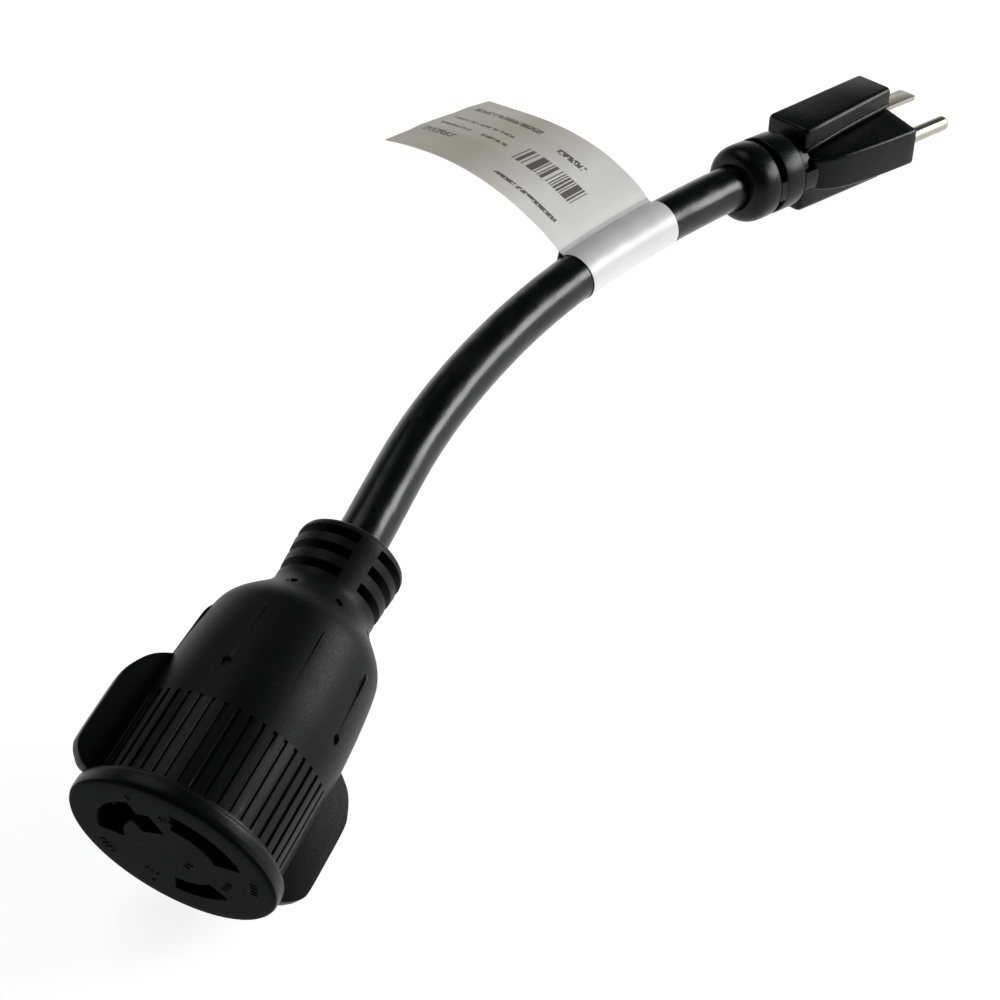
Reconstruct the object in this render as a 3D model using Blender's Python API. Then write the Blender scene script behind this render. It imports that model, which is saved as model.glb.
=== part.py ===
"""Dogbone power adapter: a 30 A three-slot locking socket, a short heavy cable and a 15 A three-prong plug.

The socket's own frame has +X from its face towards the cable and +Z towards one of its two grip wings.
The plug's own frame has +X along its prongs, away from the cable, and +Z away from the surface it lies on.
The adapter rests on the rim of the socket's flange and on the plug's lower front edge, with Z = 0 below it.
"""
from math import cos, pi, radians, sin

import bmesh
import bpy
from mathutils import Vector

MM = 0.001
GAP = 0.3 * MM

# ---- Where the two ends lie -------------------------------------------------------------------
SOCKET_FACE = Vector((-167.8, 29.1, 25.4)) * MM
SOCKET_YAW = radians(-1.1)
SOCKET_PITCH = radians(5.1)
SOCKET_ROLL = radians(54.5)
PLUG_FRONT = Vector((152.9, -34.0, 15.7)) * MM
PLUG_YAW = radians(-26.1)
PLUG_PITCH = radians(-8.7)
PLUG_ROLL = radians(-6.1)

# ---- Socket -----------------------------------------------------------------------------------
FLANGE_R = 25.6 * MM
FLANGE_THICK = 4.4 * MM
BAND_R = 23.4 * MM
BAND_END = 28.0 * MM
SOCKET_LENGTH = 88.4 * MM
GROOVES = 48
GROOVE_WIDE = 0.8 * MM
GROOVE_DEEP = 0.6 * MM
WING_THICK = 4.2 * MM
FIN_FROM, FIN_TO = 39.0 * MM, 57.0 * MM
FIN_WIDE = 0.9 * MM
DIMPLE_R = 1.1 * MM
NECK_SLOTS = (76.0 * MM, 81.2 * MM, 86.0 * MM)
NECK_SLOT_WIDE = 2.4 * MM
NECK_SLOT_FLOOR = 9.6 * MM
NECK_RIB_HALF = radians(12)
INSERT_R = 21.6 * MM
FACE_THICK = 4.0 * MM
CARRIER_R = 19.2 * MM
CARRIER_END = 28.0 * MM
RETAINER_END = 34.0 * MM
CAVITY_R = CARRIER_R + GAP
SLOT_INNER_R = 11.7 * MM
# name, middle of the arc, its span, outer radius: the arcs are seen from the cable side, from the wing at +Z
SLOTS = (
    ("ground", radians(2), radians(66), 17.9 * MM),
    ("neutral", radians(-100), radians(65), 18.2 * MM),
    ("line", radians(143), radians(50), 17.0 * MM),
)
HOOK_ANGLE = radians(-32)
HOOK_R = 10.6 * MM
HOOK_SIZE = 6.4 * MM
CONTACT_THICK = 0.9 * MM
CONTACT_FROM, CONTACT_TO = 5.0 * MM, 26.0 * MM
BARREL_R, BARREL_BORE = 2.5 * MM, 1.8 * MM
BARREL_TO = 36.0 * MM

# ---- Cable ------------------------------------------------------------------------------------
CABLE_R = 6.6 * MM
JACKET_FROM = 63.0 * MM
JACKET_TO = -47.0 * MM
CORE_R = 1.35 * MM
INSULATION_R = 2.1 * MM
WIRE_SPREAD = 2.7 * MM
SOCKET_BUNDLE = {"ground": 0, "neutral": radians(-120), "line": radians(120)}
PLUG_BUNDLE = {"ground": radians(-90), "line": radians(30), "neutral": radians(150)}
# The free route between the two strain reliefs, in the row frame
CABLE_ROUTE = (
    (-70.0, 27.6, 34.0),
    (-58.2, 28.1, 34.6),
    (-44.7, 28.5, 35.1),
    (-29.5, 28.0, 35.3),
    (-12.7, 26.3, 35.2),
    (5.5, 23.5, 34.6),
    (25.3, 19.2, 33.3),
    (46.3, 13.0, 31.5),
    (68.8, 4.7, 29.0),
)

# ---- Label ------------------------------------------------------------------------------------
LABEL_FROM, LABEL_TO = 115.0 * MM, 152.0 * MM
LABEL_THICK = 0.6 * MM
# The flag's edge on the socket's side and on the plug's side, as (outward, up) from the cable's centre
FLAG_NEAR = ((5.2, 5.3), (6.2, 6.1), (14, 10.6), (24, 14.6), (36, 17.2), (48, 17.6), (60, 16.4), (70, 14.4))
FLAG_FAR = ((5.2, 5.3), (6.2, 6.1), (14, 9.6), (24, 12.2), (36, 13.0), (48, 12.0), (60, 10.0), (70, 8.2))

# ---- Plug -------------------------------------------------------------------------------------
COLLAR_SIDE = 1.0 * MM
COLLAR_SLOTS = (-53.0 * MM, -44.0 * MM)
COLLAR_SLOT_WIDE = 2.4 * MM
COLLAR_SLOT_FLOOR = 8.6 * MM
BLADE_APART = 12.7 * MM
BLADE_WIDE = 6.35 * MM
BLADE_THICK = 1.5 * MM
BLADE_OUT = 17.0 * MM
PIN_R = 2.38 * MM
PIN_OUT = 21.2 * MM
PIN_SIDE = 11.9 * MM
BRIDGE_DEEP = 10.5 * MM
TAIL_FROM, TAIL_TO = -11.0 * MM, -19.0 * MM


# ---- Mesh helpers -----------------------------------------------------------------------------
def clear_scene():
    for thing in list(bpy.data.objects):
        bpy.data.objects.remove(thing, do_unlink=True)


def empty(name, place, turn):
    marker = bpy.data.objects.new(name, None)
    marker.location = place
    marker.rotation_euler = turn
    bpy.context.collection.objects.link(marker)
    return marker


def add_object(name, build, parent=None, location=(0, 0, 0)):
    """An object whose mesh is made by build(bm), with its faces pointing out."""
    bm = bmesh.new()
    build(bm)
    bmesh.ops.recalc_face_normals(bm, faces=bm.faces)
    mesh = bpy.data.meshes.new(name)
    bm.to_mesh(mesh)
    bm.free()
    mesh.shade_smooth()
    mesh.set_sharp_from_angle(angle=radians(35))
    thing = bpy.data.objects.new(name, mesh)
    thing.parent = parent
    thing.location = location
    bpy.context.collection.objects.link(thing)
    return thing


def shape_with(thing, tool, operation):
    """Cuts or joins thing with a hidden tool object."""
    boolean = thing.modifiers.new(tool.name, "BOOLEAN")
    boolean.operation = operation
    boolean.object = tool
    boolean.solver = "EXACT"
    tool.hide_render = True
    tool.display_type = "WIRE"


def polar(along, radius, angle):
    """A point at that distance from the X axis, with the angle counted from +Z towards +Y."""
    return Vector((along, radius * sin(angle), radius * cos(angle)))


def add_rings(bm, rings, closed=True):
    """Skins rings of equal count, in order. A closed skin joins the last ring to the first."""
    made = [[bm.verts.new(point) for point in ring] for ring in rings]
    pairs = list(zip(made, made[1:]))
    if closed:
        pairs.append((made[-1], made[0]))
    count = len(made[0])
    for low, high in pairs:
        for i in range(count):
            j = (i + 1) % count
            bm.faces.new((low[i], low[j], high[j], high[i]))
    if not closed:
        bm.faces.new(made[0])
        bm.faces.new(made[-1])


def add_turned(bm, outline, sides, side_offset=0.0):
    """Turns a closed (along, radius) outline that stays off the X axis."""
    steps = [2 * pi * i / sides for i in range(sides)]
    offset = Vector((0, side_offset, 0))
    add_rings(bm, [[polar(a, r, step) + offset for step in steps] for a, r in outline])


def add_post(bm, outline, sides, centre=(0, 0)):
    """Turns an open (along, radius) outline and closes its two ends flat."""
    steps = [2 * pi * i / sides for i in range(sides)]
    offset = Vector((0, centre[0], centre[1]))
    add_rings(bm, [[polar(a, r, step) + offset for step in steps] for a, r in outline], closed=False)


def add_box(bm, low, high):
    corners = [(low[1], low[2]), (high[1], low[2]), (high[1], high[2]), (low[1], high[2])]
    add_rings(bm, [[Vector((x, y, z)) for y, z in corners] for x in (low[0], high[0])], closed=False)


def add_sector(bm, along, radii, middle, span, steps):
    """A sector of a thick ring between two places along the axis."""
    rings = []
    for i in range(steps + 1):
        angle = middle + span * (i / steps - 0.5)
        rings.append([
            polar(along[0], radii[0], angle), polar(along[1], radii[0], angle),
            polar(along[1], radii[1], angle), polar(along[0], radii[1], angle),
        ])
    add_rings(bm, rings, closed=False)


def add_turned_box(bm, along, radii, wide, angle):
    """A box that stands out from the X axis at that angle, wide across."""
    out = polar(0, 1, angle)
    across = polar(0, 1, angle + pi / 2)
    rings = []
    for a in along:
        rings.append([
            Vector((a, 0, 0)) + out * r + across * side
            for r, side in ((radii[0], -wide / 2), (radii[1], -wide / 2), (radii[1], wide / 2), (radii[0], wide / 2))
        ])
    add_rings(bm, rings, closed=False)


def frame_along(points):
    """For each point of a path: the point, and two directions across the path that don't twist."""
    frames = []
    side = None
    for i, point in enumerate(points):
        ahead = points[min(i + 1, len(points) - 1)] - points[max(i - 1, 0)]
        ahead.normalize()
        if side is None:
            side = ahead.cross(Vector((0, 0, 1)))
        side = (side - ahead * side.dot(ahead)).normalized()
        frames.append((point, side, side.cross(ahead)))
    return frames


def add_tube(bm, points, radius, bore=None, sides=8):
    """A round bar along a path, or a tube when it has a bore."""
    def ring(at, r):
        point, side, up = at
        steps = [2 * pi * i / sides for i in range(sides)]
        return [point + side * (r * cos(step)) + up * (r * sin(step)) for step in steps]

    frames = frame_along(points)
    if bore is None:
        add_rings(bm, [ring(at, radius) for at in frames], closed=False)
    else:
        outside = [ring(at, radius) for at in frames]
        inside = [ring(at, bore) for at in reversed(frames)]
        add_rings(bm, outside + inside)


def smooth_route(points, steps):
    """A smooth curve through the points, with steps pieces between each two of them."""
    ends = [points[0] * 2 - points[1]] + list(points) + [points[-1] * 2 - points[-2]]
    route = []
    for before, start, end, after in zip(ends, ends[1:], ends[2:], ends[3:]):
        for i in range(steps):
            t = i / steps
            route.append(0.5 * (
                2 * start + (end - before) * t + (2 * before - 5 * start + 4 * end - after) * t ** 2
                + (3 * start - before - 3 * end + after) * t ** 3
            ))
    route.append(points[-1].copy())
    return route


# ---- Materials --------------------------------------------------------------------------------
def material(name, colour, roughness, metallic=0.0):
    made = bpy.data.materials.new(name)
    made.use_nodes = True
    shader = made.node_tree.nodes["Principled BSDF"]
    shader.inputs["Base Color"].default_value = (*colour, 1)
    shader.inputs["Roughness"].default_value = roughness
    shader.inputs["Metallic"].default_value = metallic
    return made


def paint(thing, made):
    thing.data.materials.append(made)
    return thing


# ---- Socket parts -----------------------------------------------------------------------------
def socket_outline():
    """The shell's half section: outside from the face to the neck's end, then back along the cavity."""
    outside = [
        (0, 24.7), (1.1, FLANGE_R / MM), (3.6, FLANGE_R / MM), (FLANGE_THICK / MM, 25.1),
        (5.2, BAND_R / MM), (BAND_END / MM, BAND_R / MM), (34, 23.4), (40, 23.2), (46, 23.0), (52, 22.6),
        (57, 21.9), (60.5, 20.6), (63.5, 18.6), (66.5, 16.3), (69, 14.4), (71, 13.3), (73.5, 12.8),
        (80, 13.2), (85.2, 13.7), (87.2, 13.0), (SOCKET_LENGTH / MM, 11.2),
    ]
    bore = CABLE_R / MM + 0.45
    inside = [
        (SOCKET_LENGTH / MM, bore), (62.5, bore), (62.5, 9.5), (57, 15.5), (48, CAVITY_R / MM),
        (FACE_THICK / MM + 0.3, CAVITY_R / MM), (FACE_THICK / MM + 0.3, INSERT_R / MM + 0.3),
        (0, INSERT_R / MM + 0.3),
    ]
    return [(a * MM, r * MM) for a, r in outside + inside]


def add_wings(bm):
    """The two flat grip wings, as one bar across the socket on each side."""
    profile = [
        (4.2, 21), (4.2, 25.1), (6.2, 27.6), (8.2, 29.6), (10.6, 30.8), (20, 30.8), (28, 30.1),
        (34, 28.4), (38, 26.2), (41.5, 23.2), (43, 21),
    ]
    for way in (1, -1):
        rings = [
            [Vector((a * MM, side, way * r * MM)) for a, r in profile]
            for side in (-WING_THICK / 2, WING_THICK / 2)
        ]
        add_rings(bm, rings, closed=False)


def add_fins(bm):
    """The eight thin fins on the dome, which end in a step towards the neck."""
    for i in range(8):
        out, across = polar(0, 1, i * pi / 4), polar(0, FIN_WIDE / 2, i * pi / 4 + pi / 2)
        rings = []
        for along, top in ((FIN_FROM, 23.3 * MM), (FIN_TO, 22.3 * MM)):
            foot, crest = (Vector((along, 0, 0)) + out * r for r in (20.3 * MM, top))
            rings.append([foot - across, crest - across, crest + across, foot + across])
        add_rings(bm, rings, closed=False)


def add_grooves(bm):
    """The cutters of the grip grooves, all round but not through the wings."""
    for i in range(GROOVES):
        angle = 2 * pi * (i + 0.5) / GROOVES
        if abs(sin(angle)) * BAND_R > WING_THICK / 2 + GROOVE_WIDE:
            deep = (BAND_R - GROOVE_DEEP, BAND_R + 1.0 * MM)
            add_turned_box(bm, (FLANGE_THICK + 1.2 * MM, BAND_END), deep, GROOVE_WIDE, angle)


def add_neck_slots(bm):
    """The flex slots of the strain relief, in two halves that leave a rib on each side."""
    for row in NECK_SLOTS:
        along = (row - NECK_SLOT_WIDE / 2, row + NECK_SLOT_WIDE / 2)
        for middle in (0, pi):
            add_sector(bm, along, (NECK_SLOT_FLOOR, 15 * MM), middle, pi - 2 * NECK_RIB_HALF, 10)


def add_dimples(bm):
    """Gate marks: four in front of the fins, and eight where the dome meets the neck."""
    for i in range(8):
        angle = i * pi / 4
        out = polar(0, 1, angle)
        marks = [(69.5 * MM, 13.1 * MM)] + ([(FIN_FROM - 1.2 * MM, 22.3 * MM)] if i % 2 else [])
        for along, radius in marks:
            inner, outer = (Vector((along, 0, 0)) + out * r for r in (radius - 0.8 * MM, radius + 3 * MM))
            add_tube(bm, [inner, outer], DIMPLE_R, sides=8)


def make_shell(frame, finish):
    shell = add_object("socket_shell", lambda bm: add_turned(bm, socket_outline(), 48), frame)
    for name, build, operation in (
        ("wings", add_wings, "UNION"),
        ("fins", add_fins, "UNION"),
        ("groove_cutter", add_grooves, "DIFFERENCE"),
        ("neck_slot_cutter", add_neck_slots, "DIFFERENCE"),
        ("dimple_cutter", add_dimples, "DIFFERENCE"),
    ):
        shape_with(shell, add_object(name, build, frame), operation)
    return paint(shell, finish)


def add_hook(bm, grow=0.0, along=(-MM, 30 * MM)):
    """The square inward hook at one end of the ground slot."""
    half = HOOK_SIZE / 2 + grow
    add_turned_box(bm, along, (HOOK_R - half, HOOK_R + half), 2 * half, HOOK_ANGLE)


def add_slot_cutters(bm):
    for _, middle, span, outer in SLOTS:
        add_sector(bm, (-MM, CARRIER_END + MM), (SLOT_INNER_R, outer), middle, span, 6)


def make_insert(frame, finish):
    """The hard face with its three curved slots, and the block behind it that holds the contacts."""
    outline = [
        (0, INSERT_R), (FACE_THICK, INSERT_R), (FACE_THICK, CARRIER_R), (CARRIER_END, CARRIER_R),
    ]
    insert = add_object("socket_insert", lambda bm: add_post(bm, outline, 48), frame)
    shape_with(insert, add_object("slot_cutter", add_slot_cutters, frame), "DIFFERENCE")
    shape_with(insert, add_object("hook_cutter", add_hook, frame), "DIFFERENCE")
    return paint(insert, finish)


def wire_radius(outer):
    return (SLOT_INNER_R + outer) / 2


def make_retainer(frame, finish):
    """The round plate behind the insert, with a hole for each contact's barrel."""
    def holes(bm):
        for _, middle, _, outer in SLOTS:
            hole = polar(0, wire_radius(outer), middle)
            add_post(bm, [(20 * MM, BARREL_R + GAP), (40 * MM, BARREL_R + GAP)], 12, (hole.y, hole.z))

    disc = [(CARRIER_END + GAP, CARRIER_R), (RETAINER_END, CARRIER_R)]
    retainer = add_object("contact_retainer", lambda bm: add_post(bm, disc, 32), frame)
    shape_with(retainer, add_object("barrel_hole_cutter", holes, frame), "DIFFERENCE")
    return paint(retainer, finish)


def make_contact(frame, slot, finish):
    """One curved brass contact: a leaf against the slot's outer wall, a foot and a crimp barrel."""
    name, middle, span, outer = slot
    leaf_out = outer - GAP
    barrel = wire_radius(outer)

    def leaf(bm):
        radii = (leaf_out - CONTACT_THICK, leaf_out)
        add_sector(bm, (CONTACT_FROM, CONTACT_TO), radii, middle, span - radians(6), 6)

    def foot(bm):
        add_turned_box(
            bm, (CONTACT_TO - CONTACT_THICK, CONTACT_TO + 0.5 * MM), (barrel - BARREL_R, leaf_out - 0.2 * MM),
            4 * MM, middle,
        )

    def ring(bm):
        outline = [
            (CONTACT_TO, BARREL_BORE), (BARREL_TO, BARREL_BORE), (BARREL_TO, BARREL_R), (CONTACT_TO, BARREL_R),
        ]
        add_turned(bm, outline, 12)
        bmesh.ops.translate(bm, verts=bm.verts, vec=polar(0, barrel, middle))

    contact = add_object(f"{name}_contact", leaf, frame)
    shape_with(contact, add_object(f"{name}_foot", foot, frame), "UNION")
    shape_with(contact, add_object(f"{name}_barrel", ring, frame), "UNION")
    return paint(contact, finish)


# ---- Wires ------------------------------------------------------------------------------------
def wire_points(start, end, first_lead, last_lead, steps=6):
    """An S-shaped wire path between two points, with a straight lead at each end."""
    way = 1 if end.x > start.x else -1
    bend_from = start + Vector((way * first_lead, 0, 0))
    bend_to = end - Vector((way * last_lead, 0, 0))
    points = [start]
    for i in range(steps + 1):
        t = i / steps
        ease = t * t * (3 - 2 * t)
        spot = bend_from.lerp(bend_to, ease)
        spot.x = bend_from.x + (bend_to.x - bend_from.x) * t
        points.append(spot)
    points.append(end)
    return points


def make_wire(name, frame, start, end, stripped, copper, cover):
    """A copper core, bare where it enters its terminal, and the insulation over the rest of it."""
    points = wire_points(start, end, stripped + 2 * MM, 2 * MM)
    way = 1 if end.x > start.x else -1
    core = add_object(f"{name}_core", lambda bm: add_tube(bm, points, CORE_R), frame)
    covered = [Vector((points[0].x + way * stripped, points[0].y, points[0].z))]
    covered += [point for point in points if (point.x - covered[0].x) * way > MM]
    bore = CORE_R + 0.35 * MM
    jacket = add_object(f"{name}_insulation", lambda bm: add_tube(bm, covered, INSULATION_R, bore), frame)
    paint(core, copper)
    paint(jacket, cover)


# ---- Cable and label --------------------------------------------------------------------------
def cable_points(socket, plug):
    """The cable's whole centreline, from inside the socket's neck to inside the plug's collar."""
    bpy.context.view_layer.update()
    inside_socket = [socket.matrix_world @ Vector((a, 0, 0)) for a in (JACKET_FROM, 72 * MM, 81 * MM)]
    inside_plug = [plug.matrix_world @ Vector((a, -COLLAR_SIDE, 0)) for a in (-69 * MM, -58 * MM, JACKET_TO)]
    free = [Vector(point) * MM for point in CABLE_ROUTE]
    neck_end = socket.matrix_world @ Vector((SOCKET_LENGTH, 0, 0))
    return inside_socket, [neck_end] + free, inside_plug


def make_cable(socket, plug, finish):
    before, free, after = cable_points(socket, plug)
    points = smooth_route(before + free + after, 2)
    line = bpy.data.curves.new("cable_jacket", "CURVE")
    line.dimensions = "3D"
    line.bevel_depth = CABLE_R
    line.bevel_resolution = 4
    line.use_fill_caps = True
    spline = line.splines.new("POLY")
    spline.points.add(len(points) - 1)
    for spot, point in zip(spline.points, points):
        spot.co = (*point, 1)
    cable = bpy.data.objects.new("cable_jacket", line)
    bpy.context.collection.objects.link(cable)
    return paint(cable, finish)


def stretch_of(points, start, end, steps):
    """Points evenly spaced along a path between two distances from its first point."""
    travelled = [0.0]
    for one, two in zip(points, points[1:]):
        travelled.append(travelled[-1] + (two - one).length)
    spots = []
    for i in range(steps + 1):
        aim = start + (end - start) * i / steps
        k = max(j for j, distance in enumerate(travelled[:-1]) if distance <= aim)
        share = (aim - travelled[k]) / (travelled[k + 1] - travelled[k])
        spots.append(points[k].lerp(points[k + 1], share))
    return spots


def make_label(socket, plug, finish):
    """A band round the cable whose two ends meet in a flag that stands out to the side."""
    before, free, after = cable_points(socket, plug)
    route = smooth_route([before[-1]] + free + after[:1], 6)
    lead = (free[0] - before[-1]).length
    spots = stretch_of(route, lead + LABEL_FROM, lead + LABEL_TO, 5)
    sides = 16
    inner = CABLE_R + 0.35 * MM
    outer = inner + LABEL_THICK

    def band(bm):
        rings_out, rings_in = [], []
        steps = [2 * pi * i / sides for i in range(sides)]
        for point, side, up in frame_along(spots):
            rings_out.append([point + side * (outer * cos(s)) + up * (outer * sin(s)) for s in steps])
            rings_in.append([point + side * (inner * cos(s)) + up * (inner * sin(s)) for s in steps])
        add_rings(bm, rings_out + rings_in[::-1])

    def flag(bm):
        rings = []
        frames = frame_along(spots)
        for (point, side, up), line in ((frames[0], FLAG_NEAR), (frames[-1], FLAG_FAR)):
            # the flag stands out to the left of the cable, against its side direction
            places = [point - side * (out * MM) + up * (high * MM) for out, high in line]
            thick = Vector((0, 0, LABEL_THICK / 2))
            rings.append([place - thick for place in places] + [place + thick for place in reversed(places)])
        add_rings(bm, rings, closed=False)

    label = add_object("cable_label", band)
    shape_with(label, add_object("label_flag", flag), "UNION")
    return paint(label, finish)


# ---- Plug parts -------------------------------------------------------------------------------
def rounded(side_low, side_high, half, corner):
    """A rectangle in Y and Z with cut corners, for a stretch between two ends of the plug."""
    c = corner
    return [
        (side_low + c, -half), (side_high - c, -half), (side_high, -half + c), (side_high, half - c),
        (side_high - c, half), (side_low + c, half), (side_low, half - c), (side_low, -half + c),
    ]


def add_section_block(bm, sections):
    """A solid through several (along, [(y, z), ...]) sections, in millimetres."""
    add_rings(bm, [[Vector((a, y, z)) * MM for y, z in shape] for a, shape in sections], closed=False)


def add_plug_body(bm):
    """The two prong blocks in one, which widens towards the front. The pin's side is -Y."""
    add_section_block(bm, [
        (-39.5, rounded(-7.1, 7.9, 13.0, 1.2)),
        (-38.5, rounded(-7.6, 8.4, 13.5, 1.2)),
        (-0.8, rounded(-5.7, 7.9, 15.2, 1.0)),
        (0, rounded(-5.1, 7.3, 14.6, 1.0)),
    ])


def add_ground_block(bm):
    """The block that carries the ground pin and flares out from the collar."""
    def section(along, side, top, root):
        c = 0.9
        return (along, [
            (-side + c, -top), (-side, -top + c), (-side, top - c), (-side + c, top), (-4, root), (-4, -root),
        ])

    add_section_block(bm, [
        section(-38.5, 10.8, 4.8, 5.6), section(-36, 12.8, 5.3, 6.0), section(-31, 14.8, 5.6, 6.5),
        section(-24, 15.9, 5.8, 7.2), section(-14, 16.8, 5.9, 7.8), section(-0.8, 17.5, 5.9, 8.4),
        section(0, 17.0, 5.4, 7.8),
    ])


def collar_outline():
    outside = [(-36, 11.4), (-37, 11.7), (-59.5, 11.7), (-62.5, 11.2), (-64.6, 9.9), (-65.5, 8.2)]
    bore = CABLE_R / MM + 0.45
    inside = [(-65.5, bore), (-36, bore)]
    return [(a * MM, r * MM) for a, r in outside + inside]


def add_collar_slots(bm):
    for row in COLLAR_SLOTS:
        along = (row - COLLAR_SLOT_WIDE / 2, row + COLLAR_SLOT_WIDE / 2)
        for middle in (0, pi):
            add_sector(bm, along, (COLLAR_SLOT_FLOOR, 14 * MM), middle, radians(136), 8)
    bmesh.ops.translate(bm, verts=bm.verts, vec=(0, -COLLAR_SIDE, 0))


def pocket_section(side, high, neck, inset=0.0):
    """The hollow across the plug, in millimetres: a slot for the two blades with an arm for the pin."""
    half = [(4.6, high), (-4.2, high), (-5.6, neck), (-side, 0.62 * neck)]
    half = [(y + (inset if y < 0 else -inset), z - inset) for y, z in half]
    return half + [(y, -z) for y, z in reversed(half)]


def add_plug_cavity(bm):
    """The pocket for the bridge and the wires behind it."""
    add_section_block(bm, [
        (1, pocket_section(14.9, 9.6, 6.2)), (-20, pocket_section(14.9, 9.6, 6.2)),
        (-27, pocket_section(13.4, 9.0, 5.8)), (-33, pocket_section(11.0, 7.8, 5.4)),
        (-41, pocket_section(7.4, 5.6, 4.6)),
    ])


def make_plug_shell(frame, finish):
    def tube_bore(bm):
        sides = [2 * pi * i / 24 for i in range(24)]
        bore = CABLE_R + 0.45 * MM
        offset = Vector((0, -COLLAR_SIDE, 0))
        add_rings(bm, [[polar(a * MM, bore, s) + offset for s in sides] for a in (-70, -40)], closed=False)

    shell = add_object("plug_shell", add_plug_body, frame)
    for name, build, operation in (
        ("ground_block", add_ground_block, "UNION"),
        ("collar", lambda bm: add_turned(bm, collar_outline(), 32, -COLLAR_SIDE), "UNION"),
        ("cable_bore_cutter", tube_bore, "DIFFERENCE"),
        ("cavity_cutter", add_plug_cavity, "DIFFERENCE"),
        ("collar_slot_cutter", add_collar_slots, "DIFFERENCE"),
    ):
        shape_with(shell, add_object(name, build, frame), operation)
    return paint(shell, finish)


def add_prong_holes(bm):
    half_wide, half_thick = BLADE_WIDE / 2 + GAP, BLADE_THICK / 2 + GAP
    for way in (1, -1):
        z = way * BLADE_APART / 2
        add_box(bm, (-20 * MM, -half_wide, z - half_thick), (2 * MM, half_wide, z + half_thick))
    add_post(bm, [(-20 * MM, PIN_R + GAP), (2 * MM, PIN_R + GAP)], 16, (-PIN_SIDE, 0))


def make_bridge(frame, finish):
    """The hard block that holds the three prongs at their standard places."""
    def block(bm):
        shape = pocket_section(14.9, 9.6, 6.2, GAP / MM)
        add_section_block(bm, [(-BRIDGE_DEEP / MM, shape), (-0.2, shape)])

    bridge = add_object("prong_bridge", block, frame)
    shape_with(bridge, add_object("prong_hole_cutter", add_prong_holes, frame), "DIFFERENCE")
    return paint(bridge, finish)


def make_blade(frame, name, way, finish):
    """A flat prong with a chamfered tip and a round crimp barrel on its tail."""
    z = way * BLADE_APART / 2
    tip = [
        (BLADE_OUT, BLADE_WIDE / 2 - 1.1 * MM, BLADE_THICK / 2 - 0.4 * MM),
        (BLADE_OUT - 1.3 * MM, BLADE_WIDE / 2, BLADE_THICK / 2),
        (TAIL_FROM - MM, BLADE_WIDE / 2, BLADE_THICK / 2),
    ]

    def bar(bm):
        rings = [
            [Vector((a, y, z + dz)) for y, dz in ((-w, -t), (w, -t), (w, t), (-w, t))] for a, w, t in tip
        ]
        add_rings(bm, rings, closed=False)

    def barrel(bm):
        outline = [(TAIL_FROM, BARREL_BORE), (TAIL_FROM, BARREL_R), (TAIL_TO, BARREL_R), (TAIL_TO, BARREL_BORE)]
        add_turned(bm, outline, 12)
        bmesh.ops.translate(bm, verts=bm.verts, vec=(0, 0, z))

    blade = add_object(f"{name}_blade", bar, frame)
    shape_with(blade, add_object(f"{name}_blade_barrel", barrel, frame), "UNION")
    return paint(blade, finish)


def make_pin(frame, finish):
    """The round ground pin with a domed tip and a bored tail that takes its wire."""
    dome = [(PIN_OUT - PIN_R * 0.9 * (1 - sin(t)), PIN_R * cos(t)) for t in (0, radians(35), radians(62))]
    tail = [(TAIL_TO, BARREL_R), (TAIL_FROM, BARREL_R), (TAIL_FROM, PIN_R)]

    def bar(bm):
        add_post(bm, tail + dome + [(PIN_OUT, 0.5 * MM)], 16, (-PIN_SIDE, 0))

    def bore(bm):
        add_post(bm, [(TAIL_TO - MM, BARREL_BORE), (TAIL_FROM - 1.5 * MM, BARREL_BORE)], 12, (-PIN_SIDE, 0))

    pin = add_object("ground_pin", bar, frame)
    shape_with(pin, add_object("pin_bore_cutter", bore, frame), "DIFFERENCE")
    return paint(pin, finish)


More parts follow.
